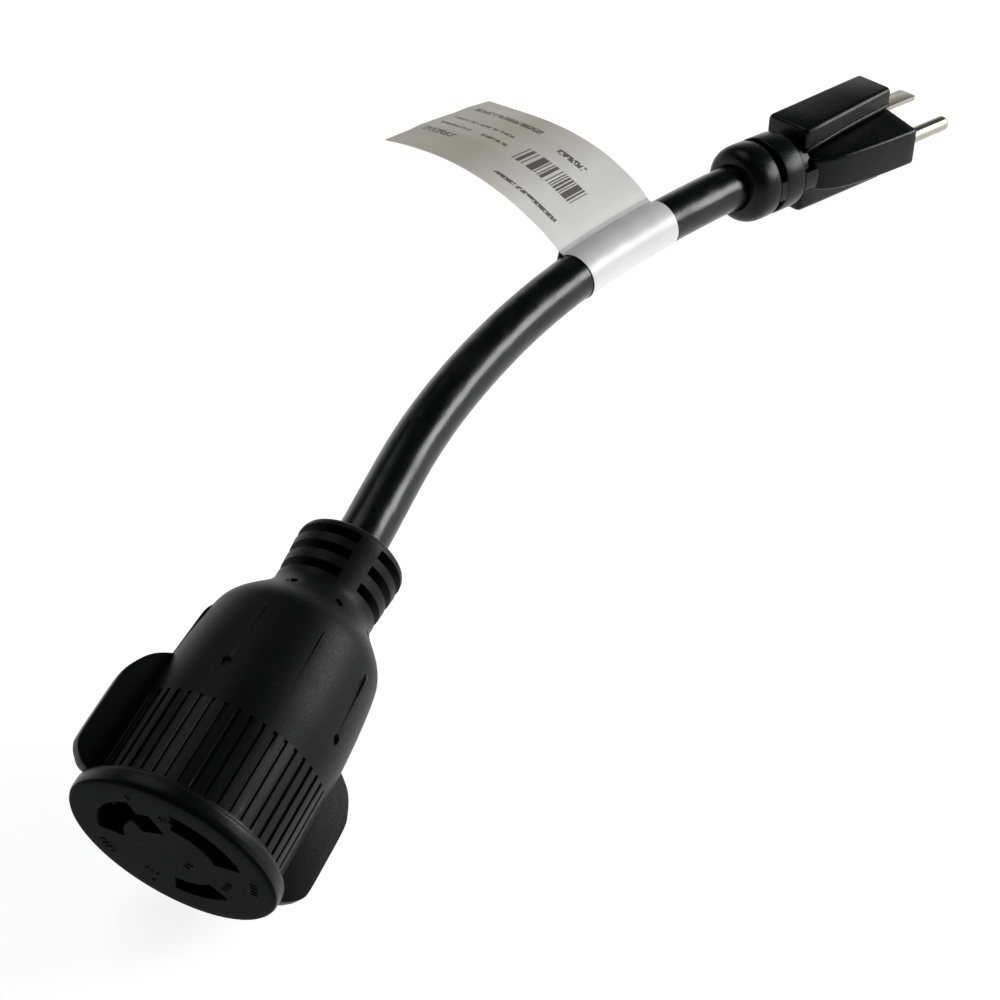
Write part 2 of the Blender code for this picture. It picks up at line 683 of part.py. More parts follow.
# ---- Assembly ---------------------------------------------------------------------------------
def main():
    clear_scene()
    soft_black = material("moulded_pvc", (0.018, 0.018, 0.019), 0.5)
    hard_black = material("hard_face", (0.03, 0.031, 0.032), 0.42)
    jacket_black = material("cable_jacket_vinyl", (0.012, 0.012, 0.013), 0.22)
    white_vinyl = material("white_label", (0.86, 0.86, 0.85), 0.3)
    natural = material("natural_nylon", (0.75, 0.73, 0.66), 0.45)
    brass = material("brass_contact", (0.80, 0.62, 0.33), 0.3, 1.0)
    nickel = material("nickel_prong", (0.72, 0.69, 0.62), 0.25, 1.0)
    copper = material("bare_copper", (0.85, 0.48, 0.32), 0.3, 1.0)
    covers = {
        "ground": material("green_insulation", (0.05, 0.32, 0.11), 0.4),
        "neutral": material("white_insulation", (0.82, 0.82, 0.80), 0.4),
        "line": material("black_insulation", (0.02, 0.02, 0.02), 0.4),
    }

    socket = empty("socket_frame", SOCKET_FACE, (-SOCKET_ROLL, -SOCKET_PITCH, SOCKET_YAW))
    plug = empty("plug_frame", PLUG_FRONT, (PLUG_ROLL, -PLUG_PITCH, PLUG_YAW))

    make_shell(socket, soft_black)
    make_insert(socket, hard_black)
    make_retainer(socket, natural)
    for slot in SLOTS:
        make_contact(socket, slot, brass)
        start = polar(CONTACT_TO + 3 * MM, wire_radius(slot[3]), slot[1])
        end = polar(JACKET_FROM - GAP, WIRE_SPREAD, SOCKET_BUNDLE[slot[0]])
        make_wire(f"socket_{slot[0]}", socket, start, end, BARREL_TO - start.x + GAP, copper, covers[slot[0]])

    make_cable(socket, plug, jacket_black)
    make_label(socket, plug, white_vinyl)

    make_plug_shell(plug, soft_black)
    make_bridge(plug, natural)
    make_blade(plug, "line", 1, nickel)
    make_blade(plug, "neutral", -1, nickel)
    make_pin(plug, nickel)
    tails = {
        "ground": Vector((0, -PIN_SIDE, 0)), "line": Vector((0, 0, BLADE_APART / 2)),
        "neutral": Vector((0, 0, -BLADE_APART / 2)),
    }
    for name, tail in tails.items():
        start = tail + Vector((TAIL_FROM - 2 * MM, 0, 0))
        end = polar(JACKET_TO + GAP, WIRE_SPREAD, PLUG_BUNDLE[name]) - Vector((0, COLLAR_SIDE, 0))
        make_wire(f"plug_{name}", plug, start, end, start.x - TAIL_TO + GAP, copper, covers[name])


main()
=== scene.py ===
"""The look of the dogbone power adapter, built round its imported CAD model.

The socket's own frame has +X from its face towards the cable and +Z towards one grip wing.
The plug's own frame has +X along its prongs, -Y towards the round one and +Z from one flat one to the other.
SOCKET and PLUG place them in the row frame. Shapes are in millimetres until MM scales them.
"""
from math import acos, cos, pi, radians, sin

import bmesh
import bpy
import numpy as np
from mathutils import Euler, Matrix, Vector


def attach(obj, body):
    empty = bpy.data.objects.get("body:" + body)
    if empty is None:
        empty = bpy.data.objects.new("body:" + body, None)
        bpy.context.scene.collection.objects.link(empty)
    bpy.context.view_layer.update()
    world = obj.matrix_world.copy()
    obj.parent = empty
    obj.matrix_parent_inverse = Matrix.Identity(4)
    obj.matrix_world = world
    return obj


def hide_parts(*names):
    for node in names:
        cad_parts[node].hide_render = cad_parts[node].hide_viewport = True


MM = 0.001
SOCKET = Matrix.Translation((-0.1678, 0.0291, 0.0254)) @ Euler(
    (radians(-54.5), radians(-5.1), radians(-1.1))).to_matrix().to_4x4()
PLUG = Matrix.Translation((0.1529, -0.034, 0.0157)) @ Euler(
    (radians(-6.1), radians(8.7), radians(-26.1))).to_matrix().to_4x4()
CABLE_R = 6.6 * MM
COLLAR_SIDE = 1.0 * MM  # how far the plug's collar and cable stand off its axis, towards the ground pin

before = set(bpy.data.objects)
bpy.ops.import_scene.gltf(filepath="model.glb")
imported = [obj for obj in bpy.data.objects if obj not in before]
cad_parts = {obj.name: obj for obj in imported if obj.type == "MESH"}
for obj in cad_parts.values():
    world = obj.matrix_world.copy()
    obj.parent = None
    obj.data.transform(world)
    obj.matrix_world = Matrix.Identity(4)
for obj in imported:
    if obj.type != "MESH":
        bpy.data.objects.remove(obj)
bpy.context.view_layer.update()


# ---- Camera, floor and light ------------------------------------------------------------------
def add_camera():
    data = bpy.data.cameras.new("camera")
    data.sensor_width = 36
    data.lens = 72
    data.clip_start = 0.01
    camera = bpy.data.objects.new("camera", data)
    right = Vector((0.3972, -0.9174, -0.0315))
    down = Vector((-0.669, -0.2658, -0.6942))
    ahead = Vector((0.6285, 0.2968, -0.7191))
    turn = Matrix((right, -down, -ahead)).transposed().to_4x4()
    camera.matrix_world = Matrix.Translation((-0.3586, -0.14283, 0.38419)) @ turn
    bpy.context.scene.collection.objects.link(camera)
    bpy.context.scene.camera = camera


def add_light(name, place, aim, size, power):
    data = bpy.data.lights.new(name, "AREA")
    data.shape = "RECTANGLE"
    data.size, data.size_y = size
    data.energy = power
    light = bpy.data.objects.new(name, data)
    light.location = place
    light.rotation_euler = (Vector(aim) - Vector(place)).to_track_quat("-Z", "Y").to_euler()
    bpy.context.scene.collection.objects.link(light)


def pale_sweep():
    """Pale paint that glows on the floor and less and less up the wall."""
    look = Look("pale_sweep", (0.6, 0.6, 0.6), 0.9, Specular_IOR_Level=0.1, Emission_Color=(1, 1, 1, 1))
    split = look.node("ShaderNodeSeparateXYZ")
    look.link(look.place, split.inputs[0])
    look.set("Emission Strength", look.spread(split.outputs["Z"], 0.85, 0.15, 0.0, 0.45))
    return look.made


def add_surroundings():
    """A round pale floor that turns up into a low pale wall far from the object, and two soft lights."""
    bm = bmesh.new()
    turns = [radians(3 * i) for i in range(120)]
    cove = [(5 + sin(radians(a)), 1 - cos(radians(a))) for a in range(0, 91, 6)] + [(6, 1.9)]
    rings = [[bm.verts.new((r * cos(t), r * sin(t), z - 0.0004)) for t in turns] for r, z in cove]
    bm.faces.new(rings[0])
    for low, high in zip(rings, rings[1:]):
        for i in range(len(turns)):
            bm.faces.new((low[i - 1], low[i], high[i], high[i - 1]))
    mesh = bpy.data.meshes.new("floor")
    bm.to_mesh(mesh)
    bm.free()
    mesh.shade_smooth()
    mesh.set_sharp_from_angle(angle=radians(30))
    mesh.materials.append(pale_sweep())
    floor = bpy.data.objects.new("floor", mesh)
    bpy.context.scene.collection.objects.link(floor)

    world = bpy.data.worlds.new("studio")
    world.use_nodes = True
    world.node_tree.nodes["Background"].inputs["Color"].default_value = (0.9, 0.95, 1.0, 1)
    world.node_tree.nodes["Background"].inputs["Strength"].default_value = 0.04
    bpy.context.scene.world = world
    bpy.context.scene.view_settings.view_transform = "Standard"
    add_light("side_softbox", (0.75, -1.0, 0.42), (0, 0, 0.02), (0.7, 0.5), 15)
    add_light("top_softbox", (0.35, 0.9, 1.5), (0, 0, 0), (1.2, 1.0), 5.5)


# ---- Materials --------------------------------------------------------------------------------
class Look:
    """A Principled material that is built up node by node."""

    def __init__(self, name, colour, roughness, metallic=0.0, **sockets):
        self.made = bpy.data.materials.new(name)
        self.made.use_nodes = True
        self.tree = self.made.node_tree
        self.shader = self.tree.nodes["Principled BSDF"]
        self.shader.inputs["Base Color"].default_value = (*colour, 1)
        self.shader.inputs["Roughness"].default_value = roughness
        self.shader.inputs["Metallic"].default_value = metallic
        for socket, value in sockets.items():
            self.shader.inputs[socket.replace("_", " ")].default_value = value
        self.place = self.node("ShaderNodeTexCoord").outputs["Object"]

    def node(self, kind, **values):
        made = self.tree.nodes.new(kind)
        for key, value in values.items():
            setattr(made, key, value)
        return made

    def link(self, source, target):
        if hasattr(source, "links"):
            self.tree.links.new(source, target)
        else:
            target.default_value = source

    def noise(self, scale, detail=2.0, stretch=(1, 1, 1)):
        """Noise in the part's own space, with scale in features per metre."""
        mapping = self.node("ShaderNodeMapping")
        mapping.inputs["Scale"].default_value = stretch
        self.link(self.place, mapping.inputs["Vector"])
        noise = self.node("ShaderNodeTexNoise")
        noise.inputs["Scale"].default_value = scale
        noise.inputs["Detail"].default_value = detail
        self.link(mapping.outputs["Vector"], noise.inputs["Vector"])
        return noise.outputs["Fac"]

    def math(self, operation, one, two=0.0, clamp=False):
        made = self.node("ShaderNodeMath", operation=operation, use_clamp=clamp)
        self.link(one, made.inputs[0])
        self.link(two, made.inputs[1])
        return made.outputs[0]

    def spread(self, value, low, high, from_low=0.3, from_high=0.7):
        """Maps a texture's middle range onto low to high."""
        made = self.node("ShaderNodeMapRange")
        for socket, number in (
            ("From Min", from_low), ("From Max", from_high), ("To Min", low), ("To Max", high),
        ):
            made.inputs[socket].default_value = number
        self.link(value, made.inputs["Value"])
        return made.outputs["Result"]

    def blend(self, factor, one, two):
        made = self.node("ShaderNodeMix", data_type="RGBA")
        self.link(factor, made.inputs["Factor"])
        for source, socket in ((one, made.inputs["A"]), (two, made.inputs["B"])):
            if hasattr(source, "links"):
                self.tree.links.new(source, socket)
            else:
                socket.default_value = (*source, 1)
        return made.outputs["Result"]

    def bump(self, height, distance, strength=1.0):
        made = self.node("ShaderNodeBump")
        made.inputs["Distance"].default_value = distance
        made.inputs["Strength"].default_value = strength
        self.link(height, made.inputs["Height"])
        self.link(made.outputs["Normal"], self.shader.inputs["Normal"])

    def set(self, socket, value):
        self.link(value, self.shader.inputs[socket])


def moulded(name, colour, roughness, grain, depth, worn=0.35, **sockets):
    """Moulded plastic: a fine even grain, with patches that are a little smoother and dustier."""
    look = Look(name, colour, roughness, **sockets)
    fine = look.noise(grain, 3.0)
    broad = look.noise(70.0, 3.0)
    speck = look.noise(grain * 0.45, 1.0)
    dusty = tuple(c * 1.8 + 0.002 for c in colour)
    look.set("Base Color", look.blend(look.spread(broad, 0.0, worn, 0.35, 0.75), colour, dusty))
    mixed = look.math("ADD", look.spread(fine, -0.05, 0.05), look.spread(speck, -0.035, 0.035))
    look.set("Roughness", look.math("ADD", mixed, roughness, clamp=True))
    look.bump(look.math("ADD", fine, look.math("MULTIPLY", speck, 0.6)), depth)
    return look.made


def drawn_metal(name, colour, roughness, stretch):
    """Bright metal with fine marks along its length and a few duller patches."""
    look = Look(name, colour, roughness, 1.0)
    lines = look.noise(900.0, 2.0, stretch)
    dull = look.noise(160.0, 3.0)
    shade = tuple(c * 0.72 for c in colour)
    look.set("Base Color", look.blend(look.spread(dull, 0.0, 0.6, 0.4, 0.75), colour, shade))
    look.set("Roughness", look.math("ADD", look.spread(lines, -0.03, 0.04), roughness, clamp=True))
    look.bump(lines, 0.000002)
    return look.made


def cable_vinyl():
    """Glossy extruded jacket: slow waves along it, faint scuffs and hardly any grain."""
    jacket = (0.0025, 0.0027, 0.003)
    look = Look("cable_vinyl", jacket, 0.24, Specular_IOR_Level=0.3)
    wave = look.noise(45.0, 2.0)
    scuff = look.noise(420.0, 4.0, (0.25, 0.6, 0.6))
    grain = look.noise(2600.0, 1.0)
    worn = look.spread(scuff, 0.0, 0.25, 0.55, 0.8)
    look.set("Base Color", look.blend(worn, jacket, (0.012, 0.012, 0.012)))
    look.set("Roughness", look.math(
        "ADD", look.spread(scuff, 0.0, 0.16, 0.5, 0.8), look.spread(wave, 0.2, 0.28), clamp=True))
    look.bump(look.math("ADD", wave, look.math("MULTIPLY", grain, 0.02)), 0.0009)
    return look.made


# ---- Mesh helpers -----------------------------------------------------------------------------
def finish_mesh(name, bm, place, materials, sharp=32):
    """Makes an object of a bmesh that is built in its own frame. Edges over sharp degrees stay crisp."""
    bmesh.ops.recalc_face_normals(bm, faces=bm.faces)
    mesh = bpy.data.meshes.new(name)
    bm.to_mesh(mesh)
    bm.free()
    mesh.transform(place)
    mesh.shade_smooth()
    mesh.set_sharp_from_angle(angle=radians(sharp))
    for made in materials:
        mesh.materials.append(made)
    piece = bpy.data.objects.new(name, mesh)
    bpy.context.scene.collection.objects.link(piece)
    return piece


def skin(bm, rings, closed=True):
    """Skins rings of equal count. A closed skin joins the last ring to the first."""
    made = [[bm.verts.new(point) for point in ring] for ring in rings]
    pairs = list(zip(made, made[1:]))
    if closed:
        pairs.append((made[-1], made[0]))
    count = len(made[0])
    faces = []
    for low, high in pairs:
        for i in range(count):
            j = (i + 1) % count
            faces.append(bm.faces.new((low[i], low[j], high[j], high[i])))
    if not closed:
        bm.faces.new(made[0])
        bm.faces.new(made[-1])
    return faces


def polar(along, radius, angle):
    """A point round the X axis, with angle 0 at +Z and a quarter turn at +Y."""
    return Vector((along, radius * sin(angle), radius * cos(angle)))


def smooth(points, steps):
    """A smooth curve through points of any number of coordinates, with steps pieces between each two."""
    points = [np.array(point, dtype=float) for point in points]
    ends = [2 * points[0] - points[1]] + points + [2 * points[-1] - points[-2]]
    route = []
    for before, start, end, after in zip(ends, ends[1:], ends[2:], ends[3:]):
        for i in range(steps):
            t = i / steps
            route.append(0.5 * (
                2 * start + (end - before) * t + (2 * before - 5 * start + 4 * end - after) * t ** 2
                + (3 * start - before - 3 * end + after) * t ** 3
            ))
    route.append(points[-1])
    return route


def sector(bm, along, radii, middle, span, steps, taper=0.0):
    """A sector of a thick ring. With a taper it is that much larger all round at its first end."""
    rings = []
    for i in range(steps + 1):
        near = middle + (span + 2 * taper / radii[0]) * (i / steps - 0.5)
        far = middle + span * (i / steps - 0.5)
        rings.append([
            polar(along[0], radii[0] - taper, near), polar(along[1], radii[0], far),
            polar(along[1], radii[1], far), polar(along[0], radii[1] + taper, near),
        ])
    skin(bm, rings, closed=False)


def cut(piece, tools):
    """Applies Boolean tools to a piece and removes them."""
    for build, place in tools:
        bm = bmesh.new()
        build(bm)
        tool = finish_mesh("tool", bm, place, [])
        boolean = piece.modifiers.new("shape", "BOOLEAN")
        boolean.object = tool
        boolean.operation = "DIFFERENCE"
        boolean.solver = "EXACT"
        with bpy.context.temp_override(object=piece, active_object=piece):
            bpy.ops.object.modifier_apply(modifier=boolean.name)
        bpy.data.objects.remove(tool, do_unlink=True)
    piece.data.shade_smooth()
    piece.data.set_sharp_from_angle(angle=radians(32))


def round_edges(piece, width):
    bevel = piece.modifiers.new("edges", "BEVEL")
    bevel.width = width
    bevel.segments = 3
    bevel.limit_method = "ANGLE"
    bevel.angle_limit = radians(60)
    bevel.harden_normals = False
    with bpy.context.temp_override(object=piece, active_object=piece):
        bpy.ops.object.modifier_apply(modifier=bevel.name)
    piece.data.shade_smooth()
    piece.data.set_sharp_from_angle(angle=radians(40))


def carried(piece, slot, *nodes):
    """Every piece rides the one body. Nodes are the CAD nodes that it is shown in place of."""
    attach(piece, "root")
    if nodes:
        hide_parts(*nodes)
    return piece


# ---- Socket -----------------------------------------------------------------------------------
# Outlines are (distance from the socket's face, radius).
FLANGE = (
    (0.0, 24.3), (0.06, 24.62), (0.25, 24.95), (0.6, 25.28), (1.1, 25.5), (1.8, 25.54), (3.2, 25.54),
    (3.7, 25.48), (4.1, 25.25), (4.35, 24.85), (4.42, 24.3), (4.5, 23.8), (4.75, 23.5), (5.2, 23.36),
)
BAND_R, BAND_END = 23.36, 26.5
BODY = (
    (BAND_END, BAND_R), (34, BAND_R), (40, 23.05), (46, 22.6), (52, 21.95), (57, 21.1), (60, 19.75),
    (62.5, 17.9), (64.8, 15.9), (67, 14.2), (69, 13.25), (71, 12.95), (78, 13.35), (83.5, 13.75),
    (85.6, 13.6),
)
NECK_END = ((86.1, 13.3), (86.6, 12.7), (86.9, 11.8), (87.0, 10.8))
INNER = (
    (87.0, 7.05), (86.6, 6.75), (62.0, 6.75), (60, 9.5), (55, 15.5), (47, 19.5), (4.3, 19.5),
    (4.3, 21.9), (0, 21.9),
)
GROOVES = 48
PITCH = 360 / GROOVES  # degrees from one groove of the band to the next
WING_CLEAR = 2.9  # the band is plain this near the middle of a wing
NECK_SLOTS = (73.2, 78.4, 83.2)
NECK_SLOT_HALF, NECK_SLOT_FLOOR = 1.2, 9.7  # half of a slot's width, and the radius of its floor
NECK_SLOT_SPAN = 78  # degrees that it runs to each side of a wing's middle
FIN_FROM, FIN_TO = 37.0, 53.8
FIN_R, FIN_DROP = 23.3, 0.85  # a fin's crest at its front, and how much lower it is at its rear
FIN_HALF = 1.15  # half of a fin's thickness, in degrees
FIN_ANGLES = (0, 50, 90, 130, 180, 230, 270, 310)
FRONT_DIMPLE, REAR_DIMPLE, REAR_DIMPLES = 35.9, 65.3, 8
DIMPLE_R, DIMPLE_SLOPE, DIMPLE_DEPTH = 1.2, 0.3, 0.9
WING_HALF, WING_EDGE = 2.1, 0.5  # half of a wing's thickness, and the rounding of its edges
WING = (
    (4.5, 20.4), (4.5, 26.0), (6.1, 28.5), (7.9, 30.0), (10.2, 30.6), (18, 30.66), (26.5, 30.55),
    (30, 29.8), (34.4, 27.5), (37.2, 24.4), (39.4, 20.4),
)


def shell_rows():
    """Places along the socket where the shell has a ring, close together at each edge and dimple."""
    spans = [
        [5.6, 5.68, 10, 16, 22, BAND_END - 0.1, BAND_END], np.arange(27.2, 34.4, 1.2),
        np.arange(FRONT_DIMPLE - 1.3, FRONT_DIMPLE + 1.1, 0.24), [FIN_FROM - 0.02, FIN_FROM + 0.04],
        np.arange(38, 53.6, 1.2), [FIN_TO - 0.04, FIN_TO + 0.04], np.arange(54.6, 63.8, 0.7),
        np.arange(REAR_DIMPLE - 1.3, REAR_DIMPLE + 1.4, 0.24), np.arange(67.2, 71.4, 0.8),
    ]
    for row in NECK_SLOTS:
        spans.append([row - 1.6, row - 1.26, row - 1.18, row, row + 1.18, row + 1.26])
    spans.append([75.2, 76.0, 80.3, 81.0, 85.0, 85.5])
    return sorted(set(round(float(a), 3) for span in spans for a in span))


def shell_angles():
    """Angles in degrees where the shell has a vertex on each ring."""
    found = list(np.arange(0, 360, 2.0))
    for i in range(GROOVES):
        middle = PITCH * (i + 0.5)
        found += [middle + way * edge for way in (-1, 1) for edge in (0.84, 1.02, 1.4)]
    for fin in FIN_ANGLES:
        found += [fin + step for step in (-1.2, -1.08, 1.08, 1.2)]
        found += [fin + step for step in np.arange(-3.5, 3.6, 0.7)]
    for i in range(REAR_DIMPLES):
        found += [360 / REAR_DIMPLES * i + step for step in np.arange(-4.9, 5.0, 0.7)]
    for edge in (NECK_SLOT_SPAN, 180 - NECK_SLOT_SPAN, 180 + NECK_SLOT_SPAN, 360 - NECK_SLOT_SPAN):
        found += [edge - 0.2, edge + 0.2]
    found = sorted(set(round(a % 360, 2) for a in found))
    return [a for a, after in zip(found, found[1:] + [found[0] + 360]) if after - a > 0.05]


def make_shell(textured, smooth_face, ribbed):
    """One closed skin: flange, grooved band, dome with fins and dimples, slotted neck, and the inside."""
    curve = np.array(smooth(BODY, 8))
    dimples = [(FRONT_DIMPLE, fin) for fin in FIN_ANGLES if fin % 90]
    dimples += [(REAR_DIMPLE, 360 / REAR_DIMPLES * i) for i in range(REAR_DIMPLES)]
    angles = np.array(shell_angles())

    def apart(degrees, other):
        return np.abs((degrees - other + 180) % 360 - 180)

    def ring_at(along):
        base = BAND_R if along < BAND_END else float(np.interp(along, curve[:, 0], curve[:, 1]))
        radius = np.full(len(angles), base)
        if 5.65 < along < BAND_END - 0.05:
            near = np.abs(angles % PITCH - PITCH / 2)
            clear = np.abs(np.sin(np.radians(angles))) * BAND_R > WING_CLEAR
            depth = np.interp(near, (0.85, 1.03, 1.38), (0.62, 0.16, 0.0))
            radius = np.where(clear, base - depth, radius)
        if FIN_FROM <= along <= FIN_TO:
            top = FIN_R - FIN_DROP * (along - FIN_FROM) / (FIN_TO - FIN_FROM)
            fade = base + 0.15 + 0.25 * (FIN_TO - along)
            for fin in FIN_ANGLES:
                crest = np.maximum(radius, min(top, fade))
                radius = np.where(apart(angles, fin) < FIN_HALF, crest, radius)
        for row in NECK_SLOTS:
            if abs(along - row) < NECK_SLOT_HALF:
                inside = np.minimum(apart(angles, 0), apart(angles, 180)) < NECK_SLOT_SPAN
                radius = np.where(inside, NECK_SLOT_FLOOR, radius)
        for middle, turn in dimples:
            across = np.radians(apart(angles, turn)) * base
            away = np.hypot(across, along - middle)
            radius -= DIMPLE_DEPTH * np.clip((DIMPLE_R - away) / DIMPLE_SLOPE, 0, 1)
        return radius

    rings = [[polar(a, r, radians(t)) for t in angles] for a, r in FLANGE]
    for along in shell_rows():
        rings.append([polar(along, r, radians(t)) for r, t in zip(ring_at(along), angles)])
    rings += [[polar(a, r, radians(t)) for t in angles] for a, r in NECK_END + INNER]
    bm = bmesh.new()
    faces = skin(bm, [[point * MM for point in ring] for ring in rings])
    count = len(angles)
    for i, face in enumerate(faces):
        along = face.calc_center_median().x
        row = i // count
        if row < 3 or row == len(rings) - 1:
            face.material_index = 1
        elif row < len(FLANGE) or along < (BAND_END + 0.2) * MM:
            face.material_index = 2
    shell = finish_mesh("socket_body", bm, SOCKET, [textured, smooth_face, ribbed], 38)
    return carried(shell, "moulded_pvc", "socket_shell")


def make_wings(textured):
    outline = smooth(WING, 4)
    for name, way in (("grip_wing_upper", 1), ("grip_wing_lower", -1)):
        bm = bmesh.new()
        skin(bm, [
            [Vector((a, side, way * r)) * MM for a, r in outline] for side in (-WING_HALF, WING_HALF)
        ], closed=False)
        wing = finish_mesh(name, bm, SOCKET, [textured])
        round_edges(wing, WING_EDGE * MM)
        carried(wing, "moulded_pvc")


# Each slot's middle and span in degrees, and its outer radius.
SLOTS = ((2, 66, 17.9), (-100, 65, 18.2), (143, 50, 17.0))
SLOT_INNER = 11.7
MOUTH = 0.5  # how much wider a slot is where it meets the face
SLOT_DEEP, SLOT_STEPS = 30.0, 18
HOOK_TURN, HOOK_R, HOOK_HALF = -32, 10.6, 3.2


def make_insert(face):
    """The hard round face: three curved slots with eased mouths, one with a square hook at its end."""
    bm = bmesh.new()
    outline = ((0, 21.5), (0.0, 21.86), (4, 21.86), (4, 19.2), (28, 19.2))
    steps = [2 * pi * i / 144 for i in range(144)]
    skin(bm, [[polar(a, r, step) * MM for step in steps] for a, r in outline], closed=False)
    insert = finish_mesh("socket_face", bm, SOCKET, [face])

    def slots(bm):
        for middle, span, outer in SLOTS:
            sector(
                bm, (-MM, SLOT_DEEP * MM), (SLOT_INNER * MM, outer * MM), radians(middle), radians(span),
                SLOT_STEPS)

    def mouths(bm):
        for middle, span, outer in SLOTS:
            sector(
                bm, (-0.6 * MM, 0.4 * MM), (SLOT_INNER * MM, outer * MM), radians(middle), radians(span),
                SLOT_STEPS, MOUTH * MM)

    def hook(bm):
        out, across = polar(0, 1, radians(HOOK_TURN)), polar(0, 1, radians(HOOK_TURN + 90))
        rings = []
        for a, half in ((-0.6, HOOK_HALF + 0.35), (0.4, HOOK_HALF), (SLOT_DEEP, HOOK_HALF)):
            rings.append([
                Vector((a * MM, 0, 0)) + (out * (HOOK_R + dr) + across * dt) * MM
                for dr, dt in ((-half, -half), (half, -half), (half, half), (-half, half))
            ])
        skin(bm, rings, closed=False)

    cut(insert, [(slots, SOCKET), (mouths, SOCKET), (hook, SOCKET)])
    return carried(insert, "hard_face", "socket_insert")


def make_face_marks(face):
    """Small raised tally marks by the slots. A group has its angle and radius, its count and its step."""
    bm = bmesh.new()
    groups = (
        (-62, 14.6, 3, 4.6), (-36, 19.9, 1, 0), (-152, 20.2, 4, 4.4), (-172, 14.2, 5, 3.9),
        (100, 19.9, 1, 0), (95, 15.4, 3, 5.2), (60, 19.8, 4, 4.2), (175, 5.0, 2, 24),
    )
    for middle, radius, count, step in groups:
        for i in range(count):
            angle = radians(middle + (i - (count - 1) / 2) * step)
            out, across = polar(0, 1, angle), polar(0, 1, angle + pi / 2)
            rings = []
            for a, grow in ((0.3, 0.0), (-0.14, 0.0), (-0.2, -0.06)):
                high, wide = 0.75 + grow, (0.2 if i % 2 else 0.34) + grow
                rings.append([
                    (Vector((a, 0, 0)) + out * (radius + dr * high) + across * (dt * wide)) * MM
                    for dr, dt in ((-1, -1), (1, -1), (1, 1), (-1, 1))
                ])
            skin(bm, rings, closed=False)
    carried(finish_mesh("face_marks", bm, SOCKET, [face]), "hard_face")


# ---- Cable and label --------------------------------------------------------------------------
# Middle of the cable between its two ends, in metres in the row frame.
CABLE_ROUTE = (
    (-0.0700, 0.0276, 0.0340),
    (-0.0582, 0.0281, 0.0346),
    (-0.0447, 0.0285, 0.0351),
    (-0.0295, 0.0280, 0.0353),
    (-0.0127, 0.0263, 0.0352),
    (0.0055, 0.0235, 0.0346),
    (0.0253, 0.0192, 0.0333),
    (0.0463, 0.0130, 0.0315),
    (0.0688, 0.0047, 0.0290),
)


def cable_line(steps):
    """The cable's middle, from inside the socket's neck to inside the plug's collar."""
    before = [SOCKET @ polar(a * MM, 0, 0) for a in (63, 72, 81, 88.4)]
    after = [PLUG @ Vector((a * MM, -COLLAR_SIDE, 0)) for a in (-69, -58, -47)]
    return [Vector(point) for point in smooth(before + list(CABLE_ROUTE) + after, steps)]


def make_cable(vinyl):
    points = cable_line(2)
    line = bpy.data.curves.new("power_cable", "CURVE")
    line.dimensions = "3D"
    line.bevel_depth = CABLE_R
    line.bevel_resolution = 10
    line.resolution_u = 4
    line.use_fill_caps = True
    spline = line.splines.new("BEZIER")
    spline.bezier_points.add(len(points) - 1)
    for knot, point in zip(spline.bezier_points, points):
        knot.co = point
        knot.handle_left_type = knot.handle_right_type = "AUTO"
    cable = bpy.data.objects.new("power_cable", line)
    bpy.context.scene.collection.objects.link(cable)
    line.materials.append(vinyl)
    carried(cable, "jacket_vinyl", "cable_jacket")


LABEL_FROM, LABEL_WIDE = 140.4, 37.0  # along the cable, from the start of cable_line
BAND_INSIDE, FILM = 6.68, 0.16  # radius of the band's inside, and thickness of its film
CREASE = radians(135)  # where the band leaves the cable, turned from its right-hand side over its top
CREASE_OUTSIDE, CREASE_INSIDE = 8.45, 8.1
# The flag's long edges, nearer the socket and nearer the plug: distance out from the cable, and height.
FLAG_NEAR = (
    (5.85, 5.92), (9.0, 8.1), (14, 10.8), (24, 14.7), (36, 17.3), (48, 17.8), (60, 16.5), (69.6, 14.5),
)
FLAG_FAR = (
    (5.85, 5.92), (9.0, 7.9), (14, 10.0), (24, 12.6), (36, 13.3), (48, 12.3), (60, 10.2), (69.6, 8.4),
)
FLAG_HALF = 0.13  # half of the flag's thickness


def label_frames(count):
    """Points along the cable under the label, with the directions across it and up from it."""
    points = cable_line(12)
    run = [0.0]
    for one, two in zip(points, points[1:]):
        run.append(run[-1] + (two - one).length)
    rows = []
    for i in range(count):
        aim = LABEL_FROM * MM + LABEL_WIDE * MM * i / (count - 1)
        k = max(j for j, distance in enumerate(run[:-1]) if distance <= aim)
        ahead = (points[k + 1] - points[k]).normalized()
        point = points[k] + ahead * (aim - run[k])
        side = ahead.cross(Vector((0, 0, 1))).normalized()
        rows.append((point, side, side.cross(ahead)))
    return rows


